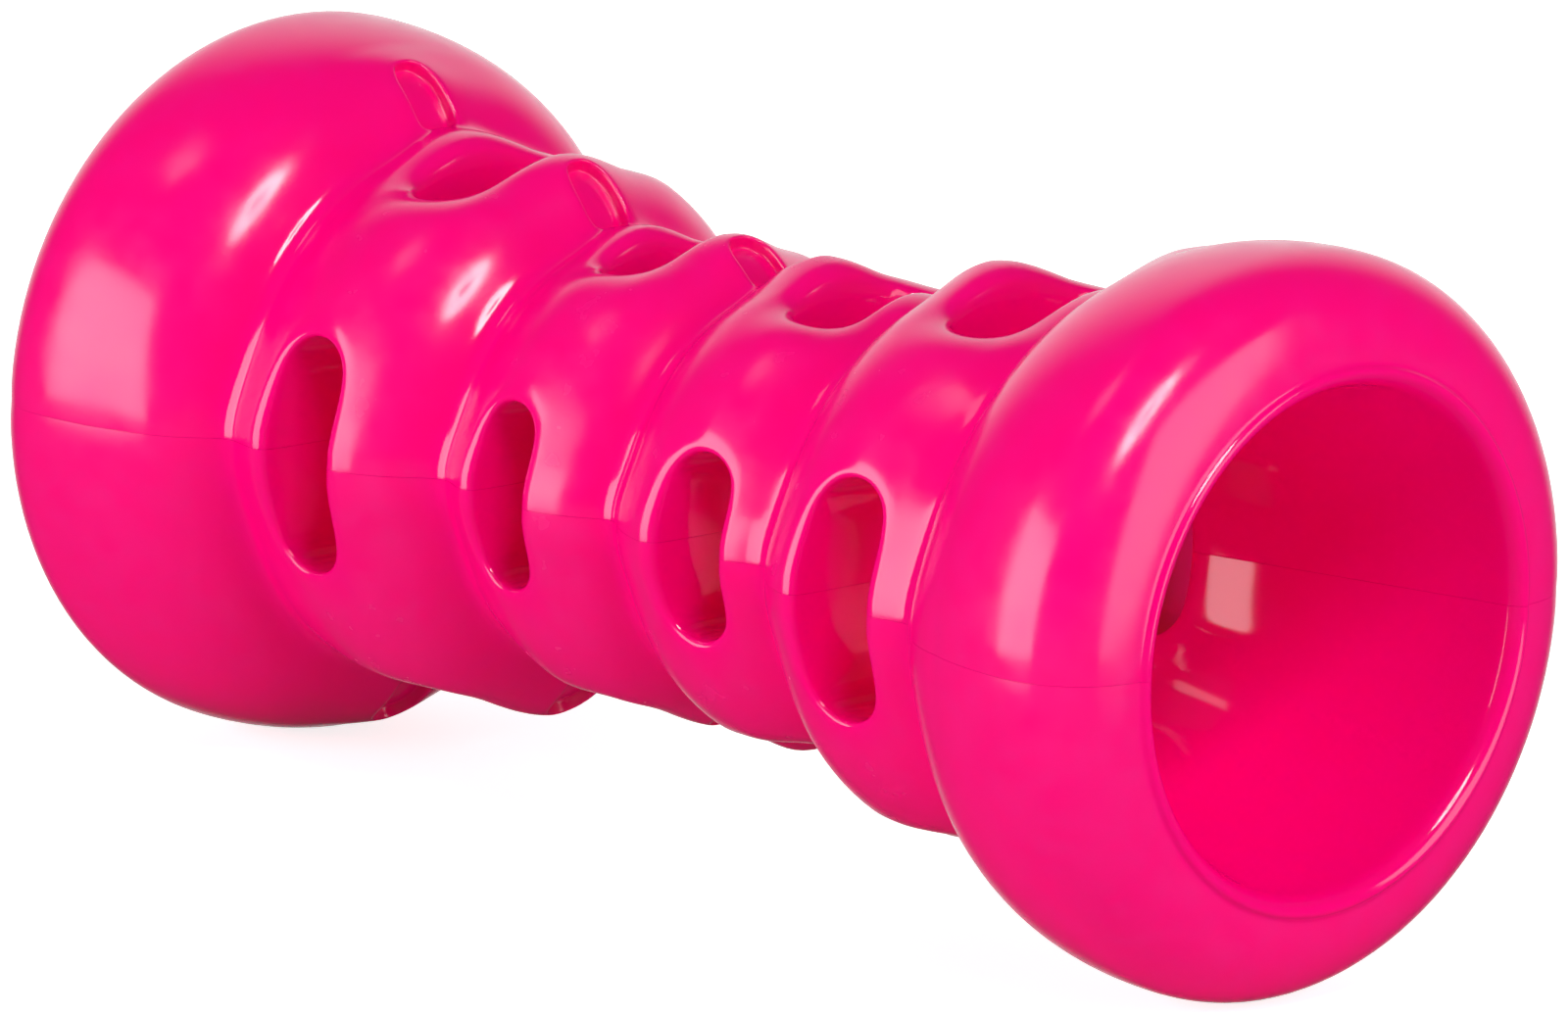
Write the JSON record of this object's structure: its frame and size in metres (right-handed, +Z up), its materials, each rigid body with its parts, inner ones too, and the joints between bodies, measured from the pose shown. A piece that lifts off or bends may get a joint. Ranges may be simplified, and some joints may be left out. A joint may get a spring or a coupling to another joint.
{
  "type": "dog chew toy",
  "caption": "Hollow bone-shaped rubber dog toy with open bulbous ends, and slots through its ring ridges that let treats show and drop out.",
  "frame": {"origin": "under the middle of the bone, on the surface that it lies on", "axes": "+X along the bone towards the mouth that faces the viewer, +Z up, with the seam between the halves level"},
  "size_m": [0.13, 0.0616, 0.0616],
  "materials": {
    "pink_rubber": "glossy moulded soft rubber"
  },
  "bodies": {
    "root": {"upper_half_shell": "pink_rubber", "lower_half_shell": "pink_rubber"}
  },
  "joints": []
}
